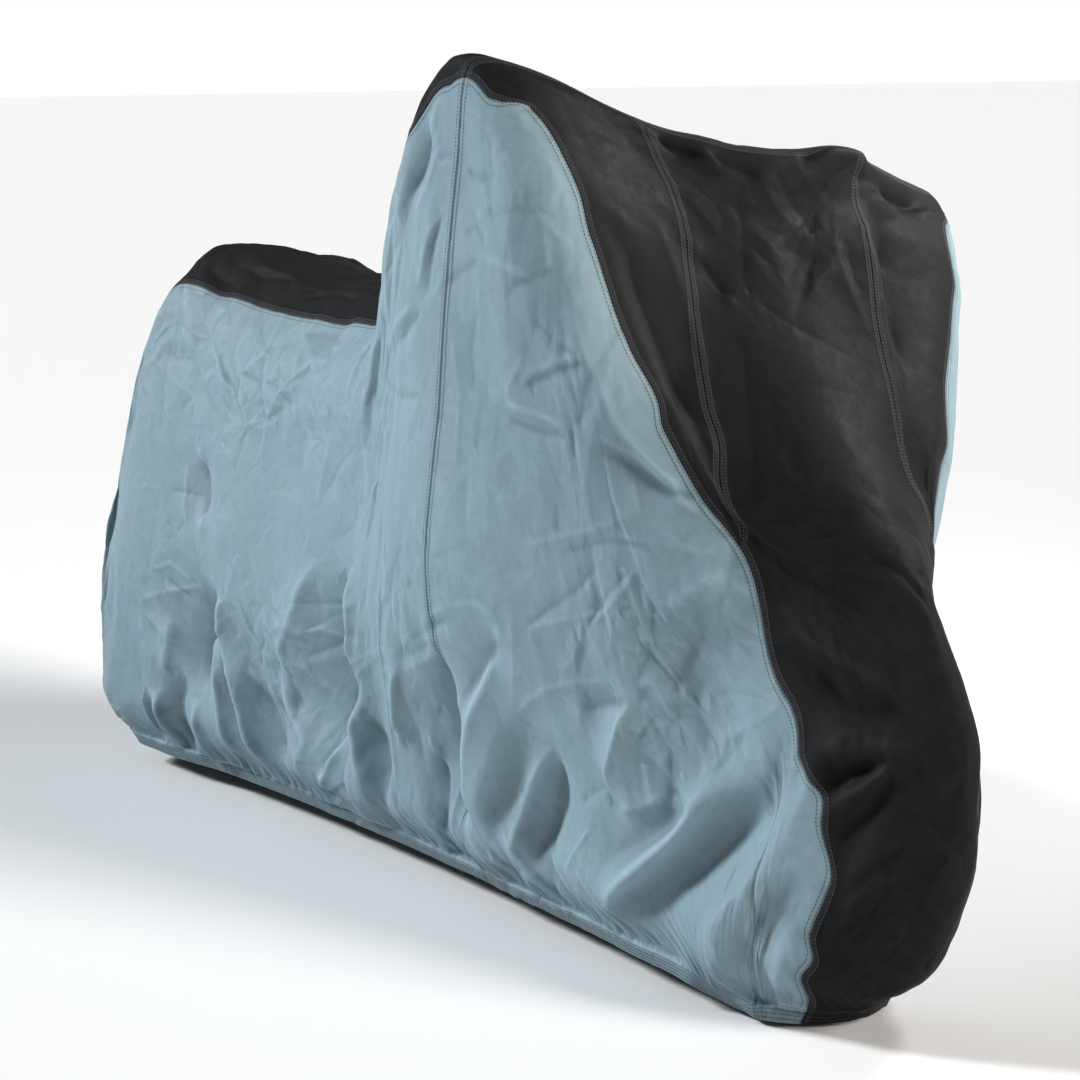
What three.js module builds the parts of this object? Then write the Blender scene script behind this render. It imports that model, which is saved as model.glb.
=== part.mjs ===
import * as THREE from 'three';

// A fitted nylon cover drawn over a parked motorcycle, in millimetres.
// +X is the motorcycle's front, +Y its left-hand side and +Z is up.
// The cloth is first laid out over an upright machine, as hoops that run from the near hem over
// the top to the far hem. The bars are then turned and the whole is leaned on its side stand.
// The origin is the point under the cover's top where the saddle carries it.

// Cloth and sewing
const CLOTH = 2;
const SEAM_GAP = 0.6;
const HEM_WIDTH = 22;
const HEM_STEP = 8;
const HEM_PROUD = 1;

// How the machine under the cover stands
const LEAN = THREE.MathUtils.degToRad(10.3);
const LEAN_FULL_HEIGHT = 250;
const STEER = THREE.MathUtils.degToRad(8.5);
const RAKE = THREE.MathUtils.degToRad(25);
const STEERING_HEAD = new THREE.Vector3(330, 0, 1000);
const STEER_HEIGHT = [650, 1050];
const STEER_REACH = [100, 420];
const STEER_REAR = [-350, 0];

// Where the saddle carries the cover, on the upright machine
const SADDLE = new THREE.Vector3(-430, 0, 871);

// One row for each hoop, from the rear hem to the front hem, on the upright machine.
// hem: the hem's point. low, high: how far the side bellies out at a third and two thirds of its
// height, and belly: how far forward. edge: the shoulder, rounded by round. fold: the line of the
// gusset seam on the top. crown: the middle of the hoop. trim: how far across, of 1 at the hem, the
// black cloth reaches.
const SECTION_COLUMNS = [
  'name', 'hemX', 'hemY', 'hemZ', 'low', 'high', 'belly',
  'edgeX', 'edgeY', 'edgeZ', 'round', 'foldX', 'foldY', 'foldZ', 'crownX', 'crownZ', 'trim',
];
const SECTIONS = [
  ['rear hem', -953, 188, 30, 3, 0, 8, -1001, 125, 26, 40, -1036, 54, 30, -1040, 30, 0.36],
  ['rear low', -931, 199, 30, 22, 30, -27, -1098, 204, 270, 60, -1142, 102, 267, -1156, 267, 0.38],
  ['rear mid', -875, 196, 30, 45, 29, -59, -1096, 208, 571, 62, -1131, 112, 577, -1142, 572, 0.41],
  ['rear top', -787, 188, 30, 60, 47, -51, -1066, 194, 822, 44, -1068, 115, 862, -1044, 842, 0.425],
  ['tail', -667, 165, 30, 65, 58, -27, -912, 179, 819, 55, -960, 82, 891, -935, 885, 0.415],
  ['saddle back', -544, 153, 30, 65, 64, -17, -697, 183, 795, 58, -712, 88, 853, -702, 872, 0.405],
  ['saddle front', -367, 140, 30, 59, 58, 5, -420, 204, 800, 65, -427, 96, 856, -429, 872, 0.405],
  ['saddle end', -190, 133, 30, 59, 45, 25, -191, 270, 834, 75, -242, 129, 872, -268, 878, 0.4],
  ['rise', -67, 129, 30, 65, 30, -1, 21, 387, 1027, 43, -26, 193, 1000, -23, 987, 0.435],
  ['shelf', 38, 129, 30, 69, 23, -17, 121, 457, 1118, 38, 128, 198, 1069, 145, 1057, 0.465],
  ['ridge', 116, 128, 30, 75, 21, -3, 234, 488, 1153, 30, 315, 193, 1133, 348, 1128, 0.455],
  ['screen', 240, 133, 30, 66, 12, 5, 357, 456, 1056, 43, 373, 166, 1060, 408, 1020, 0.35],
  ['cowl', 365, 133, 30, 50, 21, 9, 432, 380, 944, 46, 444, 155, 938, 480, 910, 0.378],
  ['chest', 460, 136, 30, 40, 25, 2, 505, 310, 800, 46, 530, 156, 794, 587, 789, 0.367],
  ['nose', 544, 141, 30, 36, 23, -6, 578, 238, 658, 50, 631, 170, 645, 726, 666, 0.375],
  ['fender', 625, 142, 30, 30, 10, -1, 668, 154, 522, 64, 766, 84, 551, 836, 567, 0.392],
  ['wheel', 670, 147, 30, 21, 18, 6, 797, 121, 416, 68, 900, 76, 377, 975, 379, 0.447],
  ['wheel low', 692, 132, 20, 12, 15, 6, 820, 136, 195, 60, 917, 84, 161, 982, 160, 0.262],
  ['front hem', 722, 114, 10, 2, 7, 3, 800, 102, 8, 36, 837, 54, 7, 858, 9, 0.25],
].map((row) => Object.fromEntries(SECTION_COLUMNS.map((column, i) => [column, row[i]])));

// Where the hoop's points lie across it, from the near hem at -1 to the far hem at 1
const HEM_T = 1;
const LOW_T = 0.82;
const HIGH_T = 0.62;
const SHOULDER_OUT_T = 0.44;
const SHOULDER_IN_T = 0.36;
const FOLD_T = 0.18;

const smooth = (low, high, x) => THREE.MathUtils.smoothstep(x, low, high);

// The curve with a continuous tangent through points at uneven knots. No tangent is much longer than
// the shorter of the two steps beside it, so the curve doesn't loop where points lie close together.
const TANGENT_LIMIT = 1.5;
function curveAt(knots, points, x) {
  const last = knots.length - 2;
  let i = 0;
  while (i < last && x >= knots[i + 1]) i += 1;
  const slope = (k) => points[k + 1].clone().sub(points[k]).divideScalar(knots[k + 1] - knots[k]);
  const tangent = (k) => {
    if (k === 0) return slope(0);
    if (k === knots.length - 1) return slope(last);
    const before = knots[k] - knots[k - 1];
    const after = knots[k + 1] - knots[k];
    const longest = TANGENT_LIMIT * Math.min(slope(k - 1).length(), slope(k).length());
    return slope(k - 1).multiplyScalar(after).addScaledVector(slope(k), before)
      .divideScalar(before + after).clampLength(0, longest);
  };
  const h = knots[i + 1] - knots[i];
  const u = (x - knots[i]) / h;
  return points[i].clone().multiplyScalar(2 * u ** 3 - 3 * u ** 2 + 1)
    .addScaledVector(tangent(i), h * (u ** 3 - 2 * u ** 2 + u))
    .addScaledVector(points[i + 1], -2 * u ** 3 + 3 * u ** 2)
    .addScaledVector(tangent(i + 1), h * (u ** 3 - u ** 2));
}

// A section's points from the near hem over the crown to the far hem. The rounding of the shoulder
// takes no more than this share of the distance from the hem.
const ROUND_SHARE = 0.09;
function hoopPoints(section) {
  const hem = new THREE.Vector3(section.hemX, section.hemY, section.hemZ);
  const edge = new THREE.Vector3(section.edgeX, section.edgeY, section.edgeZ);
  const fold = new THREE.Vector3(section.foldX, section.foldY, section.foldZ);
  const crown = new THREE.Vector3(section.crownX, 0, section.crownZ);
  const low = hem.clone().lerp(edge, 1 / 3);
  low.x += 0.9 * section.belly;
  low.y += section.low;
  const high = hem.clone().lerp(edge, 2 / 3);
  high.x += section.belly;
  high.y += section.high;
  const round = Math.min(section.round, ROUND_SHARE * edge.distanceTo(hem));
  const rounded = (point) => edge.clone().lerp(point, round / edge.distanceTo(point));
  const shoulderOut = rounded(high);
  const shoulderIn = rounded(fold);
  const left = [hem, low, high, shoulderOut, shoulderIn, fold];
  const right = left.map((point) => point.clone().multiply(new THREE.Vector3(1, -1, 1)));
  return [...right, crown, ...left.reverse()];
}

const HALF_T = [HEM_T, LOW_T, HIGH_T, SHOULDER_OUT_T, SHOULDER_IN_T, FOLD_T];
const HOOP_KNOTS = [...HALF_T.map((t) => -t), 0, ...HALF_T.toReversed()];
const HOOPS = SECTIONS.map(hoopPoints);

// The hoops' knots along the cover are the mean distances between them
function sectionKnots() {
  const knots = [0];
  for (let i = 1; i < HOOPS.length; i += 1) {
    const steps = HOOPS[i].map((point, j) => point.distanceTo(HOOPS[i - 1][j]));
    knots.push(knots[i - 1] + steps.reduce((sum, step) => sum + step, 0) / steps.length);
  }
  return knots;
}
const SECTION_KNOTS = sectionKnots();
const LENGTH = SECTION_KNOTS.at(-1);

// Turns the bars about the raked steering head, and leans everything above the hem
function stand(point) {
  const turned = smooth(...STEER_HEIGHT, point.z) * smooth(...STEER_REACH, Math.abs(point.y))
    * smooth(...STEER_REAR, point.x);
  const head = new THREE.Vector3(-Math.sin(RAKE), 0, Math.cos(RAKE));
  const placed = point.clone().sub(STEERING_HEAD).applyAxisAngle(head, STEER * turned)
    .add(STEERING_HEAD);
  const leaned = smooth(0, LEAN_FULL_HEIGHT, placed.z);
  return placed.applyAxisAngle(new THREE.Vector3(-1, 0, 0), LEAN * leaned);
}

// The main folds. At each fold's points, the first number counts the sections from 0 and the
// second runs across the hoop, from -1 to 1. height is out of the cloth, or into it where negative.
const FOLD_COLUMNS = ['name', 'width', 'height', 'route'];
const FOLDS = [
  ['rear hollow', 42, -17, [[4.1, -0.82], [3.65, -0.89], [3.7, -0.94]]],
  ['rear ridge', 30, 10, [[4.8, -0.76], [4.5, -0.845], [4.3, -0.925]]],
  ['fan trough', 28, -8, [[4.95, -0.86], [5.4, -0.945]]],
  ['fan trough forward', 28, -7, [[5.4, -0.86], [6.1, -0.945]]],
  ['side dent', 32, -8, [[4.2, -0.64], [4.15, -0.725]]],
  ['middle ridge', 28, 12, [[6.8, -0.71], [6.8, -0.81], [6.65, -0.92]]],
  ['middle hollow', 32, -14, [[6.45, -0.745], [6.4, -0.83], [6.2, -0.93]]],
  ['forward ridge', 28, 8, [[7.9, -0.77], [8.6, -0.855], [8.3, -0.92]]],
  ['seam trough', 28, -9, [[10.0, -0.86], [9.9, -0.95]]],
  ['great hollow', 36, -22, [[13.9, -0.7], [12.7, -0.78], [11.5, -0.86], [10.9, -0.915], [10.4, -0.96]]],
  ['tongue ridge', 28, 10, [[13.95, -0.71], [13.75, -0.77], [13.5, -0.85]]],
  ['narrow trough', 26, -9, [[12.2, -0.84], [11.9, -0.89], [11.5, -0.95]]],
  ['lip hollow', 32, -10, [[14.05, -0.87], [15.05, -0.785]]],
  ['long ridge', 34, 11, [[15.7, -0.58], [15.3, -0.76], [13.9, -0.93]]],
  ['long hollow', 36, -18, [[16.35, -0.42], [15.8, -0.705], [15.25, -0.83], [13.5, -0.97]]],
  ['front ridge', 30, 9, [[16.75, -0.33], [16.9, -0.465], [16.75, -0.71]]],
  ['front hollow', 30, -11, [[16.85, -0.3], [17.2, -0.415], [17.1, -0.765]]],
  ['belly hollow', 36, -10, [[14.6, -0.53], [14.65, -0.6], [14.4, -0.735], [13.95, -0.805]]],
  ['joint ridge', 28, 8, [[14.55, -0.39], [14.5, -0.465], [14.1, -0.58]]],
  ['diagonal trough', 28, -8, [[13.5, -0.56], [12.45, -0.69], [11.65, -0.77]]],
  ['crossing dent', 28, -8, [[11.2, -0.615], [12.4, -0.55]]],
  ['bend', 28, 7, [[11.65, -0.45], [12.6, -0.455], [13.2, -0.44], [13.7, -0.405], [14.35, -0.375]]],
  ['drape trough', 28, -13, [[9.7, -0.48], [9.3, -0.5], [9.2, -0.53]]],
  ['saddle corner dent', 28, -9, [[9.0, -0.63], [10.2, -0.65]]],
  ['screen swoosh', 28, -13, [[10.5, -0.13], [10.4, -0.06], [10.6, -0.025]]],
  ['screen brow', 32, 8, [[11.65, -0.09], [12.15, -0.075], [12.3, -0.01], [12.65, 0.065]]],
  ['screen notch', 34, -15, [[11.0, -0.18], [10.5, -0.165]]],
  ['far bend', 28, 8, [[12.75, 0.095], [13.25, 0.045], [14.15, 0], [14.75, 0.005]]],
  ['far gusset trough', 28, -12, [[10.35, 0.19], [11.45, 0.205], [12.3, 0.21]]],
  ['far gusset ridge', 28, 8, [[10.7, 0.235], [11.25, 0.265], [11.55, 0.345]]],
  ['far pocket', 32, -12, [[12.25, 0.3], [12.95, 0.255]]],
  ['nose hollow', 28, -10, [[14.7, -0.36], [15.0, -0.28], [15.35, -0.15]]],
  ['nose hollow below', 28, -9, [[15.05, -0.385], [15.6, -0.32], [15.7, -0.12]]],
  ['wheel ridge', 28, 11, [[16.45, -0.4], [16.25, -0.255], [16.1, -0.135], [16.2, -0.06]]],
  ['wheel hollow', 32, -11, [[16.2, -0.41], [15.95, -0.18], [15.9, -0.08]]],
  ['wheel trough', 28, -7, [[17.7, -0.15], [17.0, -0.12], [16.5, -0.07]]],
].map((row) => Object.fromEntries(FOLD_COLUMNS.map((column, i) => [column, row[i]])));

// The far side isn't the near side's mirror: its like folds lie further back and are shallower
const FAR_FOLD_BACK = 0.4;
const FAR_FOLD_HEIGHT = 0.8;
const FOLD_SIDE_T = 0.4;
const FOLD_STEPS = 12;
const FOLD_TAPER = 0.22;

// The steps that a slope is measured over, along the cover and across a hoop
const SLOPE_STEP = 3;
const SLOPE_STEP_T = 0.003;

const cloth = new Map();

// The leaned and turned middle surface without its folds
function basePoint(s, t) {
  if (!cloth.has(s)) {
    cloth.set(s, HOOP_KNOTS.map((_, j) => (
      curveAt(SECTION_KNOTS, HOOPS.map((points) => points[j]), s))));
  }
  return stand(curveAt(HOOP_KNOTS, cloth.get(s), t));
}

// The distance along the cover of a place counted in sections
function alongAt(count) {
  const i = Math.min(Math.floor(count), SECTION_KNOTS.length - 2);
  return THREE.MathUtils.lerp(SECTION_KNOTS[i], SECTION_KNOTS[i + 1], count - i);
}

// A fold's route as points on the surface
function foldLine(route) {
  const turns = route.length - 1;
  return Array.from({ length: FOLD_STEPS + 1 }, (_, k) => {
    const place = (k / FOLD_STEPS) * turns;
    const i = Math.min(Math.floor(place), turns - 1);
    const [fromCount, fromT] = route[i];
    const [toCount, toT] = route[i + 1];
    const part = place - i;
    return basePoint(
      alongAt(THREE.MathUtils.lerp(fromCount, toCount, part)),
      THREE.MathUtils.lerp(fromT, toT, part),
    );
  });
}

function farFold(fold) {
  const route = fold.route.map(([count, t]) => [count - FAR_FOLD_BACK, -t]);
  return { ...fold, route, height: fold.height * FAR_FOLD_HEIGHT };
}

const sideFolds = FOLDS.filter((fold) => fold.route.every(([, t]) => t < -FOLD_SIDE_T));
const ALL_FOLDS = [...FOLDS, ...sideFolds.map(farFold)]
  .map((fold) => ({ ...fold, line: foldLine(fold.route) }));

// How far all folds move the cloth at a point
function foldHeight(point) {
  let total = 0;
  const nearest = new THREE.Vector3();
  const span = new THREE.Line3();
  for (const { line, width, height } of ALL_FOLDS) {
    let best = Infinity;
    let along = 0;
    for (let k = 0; k < FOLD_STEPS; k += 1) {
      span.set(line[k], line[k + 1]);
      const part = span.closestPointToPointParameter(point, true);
      const distance = span.at(part, nearest).distanceTo(point);
      if (distance < best) {
        best = distance;
        along = (k + part) / FOLD_STEPS;
      }
    }
    const taper = smooth(0, FOLD_TAPER, along) * smooth(0, FOLD_TAPER, 1 - along);
    total += height * taper * Math.exp(-((best / width) ** 2));
  }
  return total;
}

// The folded middle surface at one place, with the direction that points out of the cover
function clothAt(s, t) {
  const back = Math.max(s - SLOPE_STEP, 0);
  const ahead = Math.min(s + SLOPE_STEP, LENGTH);
  const along = basePoint(ahead, t).sub(basePoint(back, t)).normalize();
  const left = Math.min(t + SLOPE_STEP_T, HEM_T);
  const right = Math.max(t - SLOPE_STEP_T, -HEM_T);
  const across = basePoint(s, left).sub(basePoint(s, right));
  const normal = along.clone().cross(across).normalize();
  const level = normal.clone().cross(along);
  const point = basePoint(s, t);
  const height = foldHeight(point);
  const rise = (direction) => (
    foldHeight(point.clone().addScaledVector(direction, SLOPE_STEP)) - height) / SLOPE_STEP;
  const out = normal.clone().addScaledVector(along, -rise(along))
    .addScaledVector(level, -rise(level)).normalize();
  return { point: point.addScaledVector(normal, height), out };
}

// Rows along the cover and columns across it, as many as the folds need
const REAR_ROWS = 32;
const GUSSET_ROWS = 15;
const WHEEL_ROWS = 13;
const SIDE_COLUMNS = 19;
const GUSSET_COLUMNS = 4;
const CENTRE_COLUMNS = 12;
const HEM_LIMIT_T = 0.05;

// The seam from the peak down both sides
const SIDE_SEAM = alongAt(10.12);

// The gusset narrows from GUSSET_TURN to its tip and ends TIP_T wide
const GUSSET_TURN = alongAt(13.5);
const GUSSET_TIP = alongAt(14.5);
const TIP_T = 0.008;

const evenSteps = (from, to, count) => (
  Array.from({ length: count + 1 }, (_, k) => THREE.MathUtils.lerp(from, to, k / count)));
const joined = (...lists) => [...new Set(lists.flat())];

const TRIMS = SECTIONS.map((section) => new THREE.Vector3(section.trim, 0, 0));
const trimAt = (s) => curveAt(SECTION_KNOTS, TRIMS, s).x;
const gussetAt = (s) => {
  const turned = smooth(GUSSET_TURN, GUSSET_TIP, s);
  return THREE.MathUtils.lerp(FOLD_T, trimAt(s) - TIP_T, turned);
};

// The hem's upper edge and the foot of its step, as places across a hoop
function hemColumns(s) {
  const reach = basePoint(s, -HEM_T).distanceTo(basePoint(s, -LOW_T));
  return [HEM_WIDTH, HEM_WIDTH + HEM_STEP].map((width, k) => (
    HEM_T - Math.min((HEM_T - LOW_T) * width / reach, HEM_LIMIT_T * (k + 1))));
}

const REAR_S = joined(
  [0, HEM_WIDTH],
  evenSteps(HEM_WIDTH + HEM_STEP, SIDE_SEAM, REAR_ROWS),
);
const FRONT_S = joined(
  evenSteps(SIDE_SEAM, GUSSET_TIP, GUSSET_ROWS),
  evenSteps(GUSSET_TIP, LENGTH - HEM_WIDTH - HEM_STEP, WHEEL_ROWS),
  [LENGTH - HEM_WIDTH, LENGTH],
);
const GUSSET_S = evenSteps(SIDE_SEAM, GUSSET_TIP, GUSSET_ROWS);
const inHem = (s) => s <= HEM_WIDTH || s >= LENGTH - HEM_WIDTH;

// The columns of each piece at the distance s, from the near hem towards the far one
const sideColumns = (s) => {
  const [upper, foot] = hemColumns(s);
  return [-HEM_T, -upper, ...evenSteps(-foot, -trimAt(s), SIDE_COLUMNS)];
};
const gussetColumns = (s) => evenSteps(-trimAt(s), -gussetAt(s), GUSSET_COLUMNS);
const centreColumns = (s) => {
  const half = s > GUSSET_TIP ? trimAt(s) : gussetAt(s);
  return evenSteps(-half, half, CENTRE_COLUMNS);
};
const stripColumns = (s) => joined(
  evenSteps(-trimAt(s), -FOLD_T, GUSSET_COLUMNS),
  evenSteps(-FOLD_T, FOLD_T, CENTRE_COLUMNS),
  evenSteps(FOLD_T, trimAt(s), GUSSET_COLUMNS),
);
const mirrored = (columns) => (s) => columns(s).map((t) => -t).reverse();

// Draws a piece's sewn borders in, so that two pieces meet with the seam's gap between them.
// Both pieces draw back square to the seam, in the cloth's own surface.
function openSeams(grid, sewn) {
  const lastRow = grid.length - 1;
  const lastColumn = grid[0].length - 1;
  const moved = grid.map((row) => row.map(({ point }) => point.clone()));
  const draw = (i, j, seamRow, seamColumn, inRow, inColumn) => {
    const { point, out } = grid[i][j];
    const before = grid[Math.max(i - seamRow, 0)][Math.max(j - seamColumn, 0)].point;
    const after = grid[Math.min(i + seamRow, lastRow)][Math.min(j + seamColumn, lastColumn)].point;
    const inward = grid[i + inRow][j + inColumn].point.clone().sub(point);
    const square = after.clone().sub(before).cross(out).normalize();
    moved[i][j].addScaledVector(square, Math.sign(square.dot(inward)) * SEAM_GAP / 2);
  };
  for (let j = 0; j <= lastColumn; j += 1) {
    if (sewn.start) draw(0, j, 0, 1, 1, 0);
    if (sewn.end) draw(lastRow, j, 0, 1, -1, 0);
  }
  for (let i = 0; i <= lastRow; i += 1) {
    if (sewn.near) draw(i, 0, 1, 0, 0, 1);
    if (sewn.far) draw(i, lastColumn, 1, 0, 0, -1);
  }
  return moved;
}

// A closed sheet over rows of places along the cover and the columns that a function gives
function sheetGeometry(rows, columnsAt, sewn) {
  const places = rows.map((s) => columnsAt(s));
  const grid = rows.map((s, i) => places[i].map((t) => clothAt(s, t)));
  const middle = openSeams(grid, sewn);
  const width = grid[0].length;
  const count = rows.length * width;
  const positions = [];
  for (const side of [1, -1]) {
    rows.forEach((s, i) => {
      const [hem] = hemColumns(s);
      places[i].forEach((t, j) => {
        const proud = inHem(s) || Math.abs(t) >= hem ? HEM_PROUD : 0;
        const offset = side * (CLOTH / 2 + proud);
        positions.push(...middle[i][j].clone().addScaledVector(grid[i][j].out, offset));
      });
    });
  }
  const faces = [];
  const outer = (i, j) => i * width + j;
  const inner = (i, j) => count + i * width + j;
  for (let i = 0; i + 1 < rows.length; i += 1) {
    for (let j = 0; j + 1 < width; j += 1) {
      faces.push(outer(i, j), outer(i + 1, j), outer(i + 1, j + 1));
      faces.push(outer(i, j), outer(i + 1, j + 1), outer(i, j + 1));
      faces.push(inner(i, j), inner(i + 1, j + 1), inner(i + 1, j));
      faces.push(inner(i, j), inner(i, j + 1), inner(i + 1, j + 1));
    }
  }
  const border = [
    ...rows.slice(1).map((_, i) => [i, 0]),
    ...places[0].slice(1).map((_, j) => [rows.length - 1, j]),
    ...rows.slice(1).map((_, i) => [rows.length - 1 - i, width - 1]),
    ...places[0].slice(1).map((_, j) => [0, width - 1 - j]),
  ];
  // Across a seam the two pieces' edges are split along the same diagonal, so they stay parallel
  border.forEach((from, k) => {
    const to = border[(k + 1) % border.length];
    if (from[0] + from[1] < to[0] + to[1]) {
      faces.push(outer(...from), inner(...to), outer(...to));
      faces.push(outer(...from), inner(...from), inner(...to));
    } else {
      faces.push(outer(...from), inner(...from), outer(...to));
      faces.push(outer(...to), inner(...from), inner(...to));
    }
  });
  const geometry = new THREE.BufferGeometry();
  geometry.setAttribute('position', new THREE.Float32BufferAttribute(positions, 3));
  geometry.setIndex(faces);
  geometry.computeVertexNormals();
  return geometry;
}

const silver = { color: 0x93a9b4, roughness: 0.62, metalness: 0.0 };
const black = { color: 0x1d1f22, roughness: 0.5, metalness: 0.0 };

const hemThenSeam = { near: false, far: true };
const seamThenHem = { near: true, far: false };
const betweenSeams = { near: true, far: true };
const rearPart = { start: false, end: true };
const frontPart = { start: true, end: false };
const gussetPart = { start: true, end: true };

const PIECES = [
  ['side_rear_right', silver, REAR_S, sideColumns, { ...hemThenSeam, ...rearPart }],
  ['side_front_right', silver, FRONT_S, sideColumns, { ...hemThenSeam, ...frontPart }],
  ['side_rear_left', silver, REAR_S, mirrored(sideColumns), { ...seamThenHem, ...rearPart }],
  ['side_front_left', silver, FRONT_S, mirrored(sideColumns), { ...seamThenHem, ...frontPart }],
  ['top_strip', black, REAR_S, stripColumns, { ...betweenSeams, ...rearPart }],
  ['gusset_right', black, GUSSET_S, gussetColumns, { ...betweenSeams, ...gussetPart }],
  ['gusset_left', black, GUSSET_S, mirrored(gussetColumns), { ...betweenSeams, ...gussetPart }],
  ['front_centre', black, FRONT_S, centreColumns, { ...betweenSeams, ...frontPart }],
];

const cover = new THREE.Group();
for (const [name, finish, rows, columnsAt, sewn] of PIECES) {
  const material = new THREE.MeshStandardMaterial(finish);
  const mesh = new THREE.Mesh(sheetGeometry(rows, columnsAt, sewn), material);
  mesh.name = name;
  cover.add(mesh);
}
cover.position.copy(stand(SADDLE.clone())).negate();

export default cover;
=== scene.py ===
import math

import bpy
import numpy as np
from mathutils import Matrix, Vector
from mathutils.geometry import delaunay_2d_cdt
from mathutils.kdtree import KDTree


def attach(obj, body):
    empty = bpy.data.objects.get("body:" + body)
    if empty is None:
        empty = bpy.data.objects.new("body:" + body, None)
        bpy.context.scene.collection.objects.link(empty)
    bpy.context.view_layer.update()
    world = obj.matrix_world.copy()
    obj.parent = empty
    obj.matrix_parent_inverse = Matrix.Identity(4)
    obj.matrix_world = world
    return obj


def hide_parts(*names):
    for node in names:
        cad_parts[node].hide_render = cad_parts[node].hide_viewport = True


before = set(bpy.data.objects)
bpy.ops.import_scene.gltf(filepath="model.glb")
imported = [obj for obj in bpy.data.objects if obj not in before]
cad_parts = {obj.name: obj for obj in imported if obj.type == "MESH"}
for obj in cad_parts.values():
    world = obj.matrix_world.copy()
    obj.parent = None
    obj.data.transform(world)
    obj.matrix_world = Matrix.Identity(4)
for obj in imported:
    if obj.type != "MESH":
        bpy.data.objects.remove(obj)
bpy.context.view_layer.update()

# How the machine under the cover stands, and where the frame's origin lies on it, in metres
LEAN = math.radians(10.3)
LEAN_FULL_HEIGHT = 0.25
STEER = math.radians(8.5)
RAKE = math.radians(25)
STEERING_HEAD = np.array([0.33, 0.0, 1.0])
STEER_HEIGHT = (0.65, 1.05)
STEER_REACH = (0.10, 0.42)
STEER_REAR = (-0.35, 0.0)
SADDLE = np.array([-0.43, 0.0, 0.871])

# One row for each hoop of cloth, in millimetres on the upright machine: hem, how far the side bellies
# out low and high, how far forward, shoulder edge, its rounding, gusset fold, crown
SECTIONS = np.array([
    [-953, 188, 30, 3, 0, 8, -1001, 125, 26, 40, -1036, 54, 30, -1040, 30],
    [-931, 199, 30, 22, 30, -27, -1098, 204, 270, 60, -1142, 102, 267, -1156, 267],
    [-875, 196, 30, 45, 29, -59, -1096, 208, 571, 62, -1131, 112, 577, -1142, 572],
    [-787, 188, 30, 60, 47, -51, -1066, 194, 822, 44, -1068, 115, 862, -1044, 842],
    [-667, 165, 30, 65, 58, -27, -912, 179, 819, 55, -960, 82, 891, -935, 885],
    [-544, 153, 30, 65, 64, -17, -697, 183, 795, 58, -712, 88, 853, -702, 872],
    [-367, 140, 30, 59, 58, 5, -420, 204, 800, 65, -427, 96, 856, -429, 872],
    [-190, 133, 30, 59, 45, 25, -191, 270, 834, 75, -242, 129, 872, -268, 878],
    [-67, 129, 30, 65, 30, -1, 21, 387, 1027, 43, -26, 193, 1000, -23, 987],
    [38, 129, 30, 69, 23, -17, 121, 457, 1118, 38, 128, 198, 1069, 145, 1057],
    [116, 128, 30, 75, 21, -3, 234, 488, 1153, 30, 315, 193, 1133, 348, 1128],
    [240, 133, 30, 66, 12, 5, 357, 456, 1056, 43, 373, 166, 1060, 408, 1020],
    [365, 133, 30, 50, 21, 9, 432, 380, 944, 46, 444, 155, 938, 480, 910],
    [460, 136, 30, 40, 25, 2, 505, 310, 800, 46, 530, 156, 794, 587, 789],
    [544, 141, 30, 36, 23, -6, 578, 238, 658, 50, 631, 170, 645, 726, 666],
    [625, 142, 30, 30, 10, -1, 668, 154, 522, 64, 766, 84, 551, 836, 567],
    [670, 147, 30, 21, 18, 6, 797, 121, 416, 68, 900, 76, 377, 975, 379],
    [692, 132, 20, 12, 15, 6, 820, 136, 195, 60, 917, 84, 161, 982, 160],
    [722, 114, 10, 2, 7, 3, 800, 102, 8, 36, 837, 54, 7, 858, 9],
], float)
SECTIONS /= 1000

HALF_T = np.array([1.0, 0.82, 0.62, 0.44, 0.36, 0.18])
HOOP_KNOTS = np.concatenate([-HALF_T, [0.0], HALF_T[::-1]])
TANGENT_LIMIT = 1.5
ROUND_SHARE = 0.09


def smooth(low, high, x):
    k = np.clip((x - low) / (high - low), 0.0, 1.0)
    return k * k * (3 - 2 * k)


def unit(v):
    return v / (np.linalg.norm(v, axis=-1, keepdims=True) + 1e-12)


def run_along(points, axis=0):
    """How far each point lies from the start of its line, for lines along an axis of an array."""
    steps = np.linalg.norm(np.diff(points, axis=axis), axis=-1)
    pad = [(0, 0)] * steps.ndim
    pad[axis] = (1, 0)
    return np.cumsum(np.pad(steps, pad), axis=axis)


def hoops():
    """The hoops' points from the near hem over the crown to the far hem, as (hoop, point, xyz)."""
    hem, edge, fold = SECTIONS[:, 0:3], SECTIONS[:, 6:9], SECTIONS[:, 10:13]
    out_low, out_high, belly, rounding = SECTIONS[:, 3], SECTIONS[:, 4], SECTIONS[:, 5], SECTIONS[:, 9]
    crown = np.stack([SECTIONS[:, 13], np.zeros(len(SECTIONS)), SECTIONS[:, 14]], 1)
    low = hem + (edge - hem) / 3
    low[:, 0] += 0.9 * belly
    low[:, 1] += out_low
    high = hem + (edge - hem) * 2 / 3
    high[:, 0] += belly
    high[:, 1] += out_high
    radius = np.minimum(rounding, ROUND_SHARE * np.linalg.norm(edge - hem, axis=1))[:, None]
    left = [hem, low, high, edge + unit(high - edge) * radius, edge + unit(fold - edge) * radius, fold]
    right = [p * np.array([1, -1, 1]) for p in left]
    return np.stack([*right, crown, *left[::-1]], 1)


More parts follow.
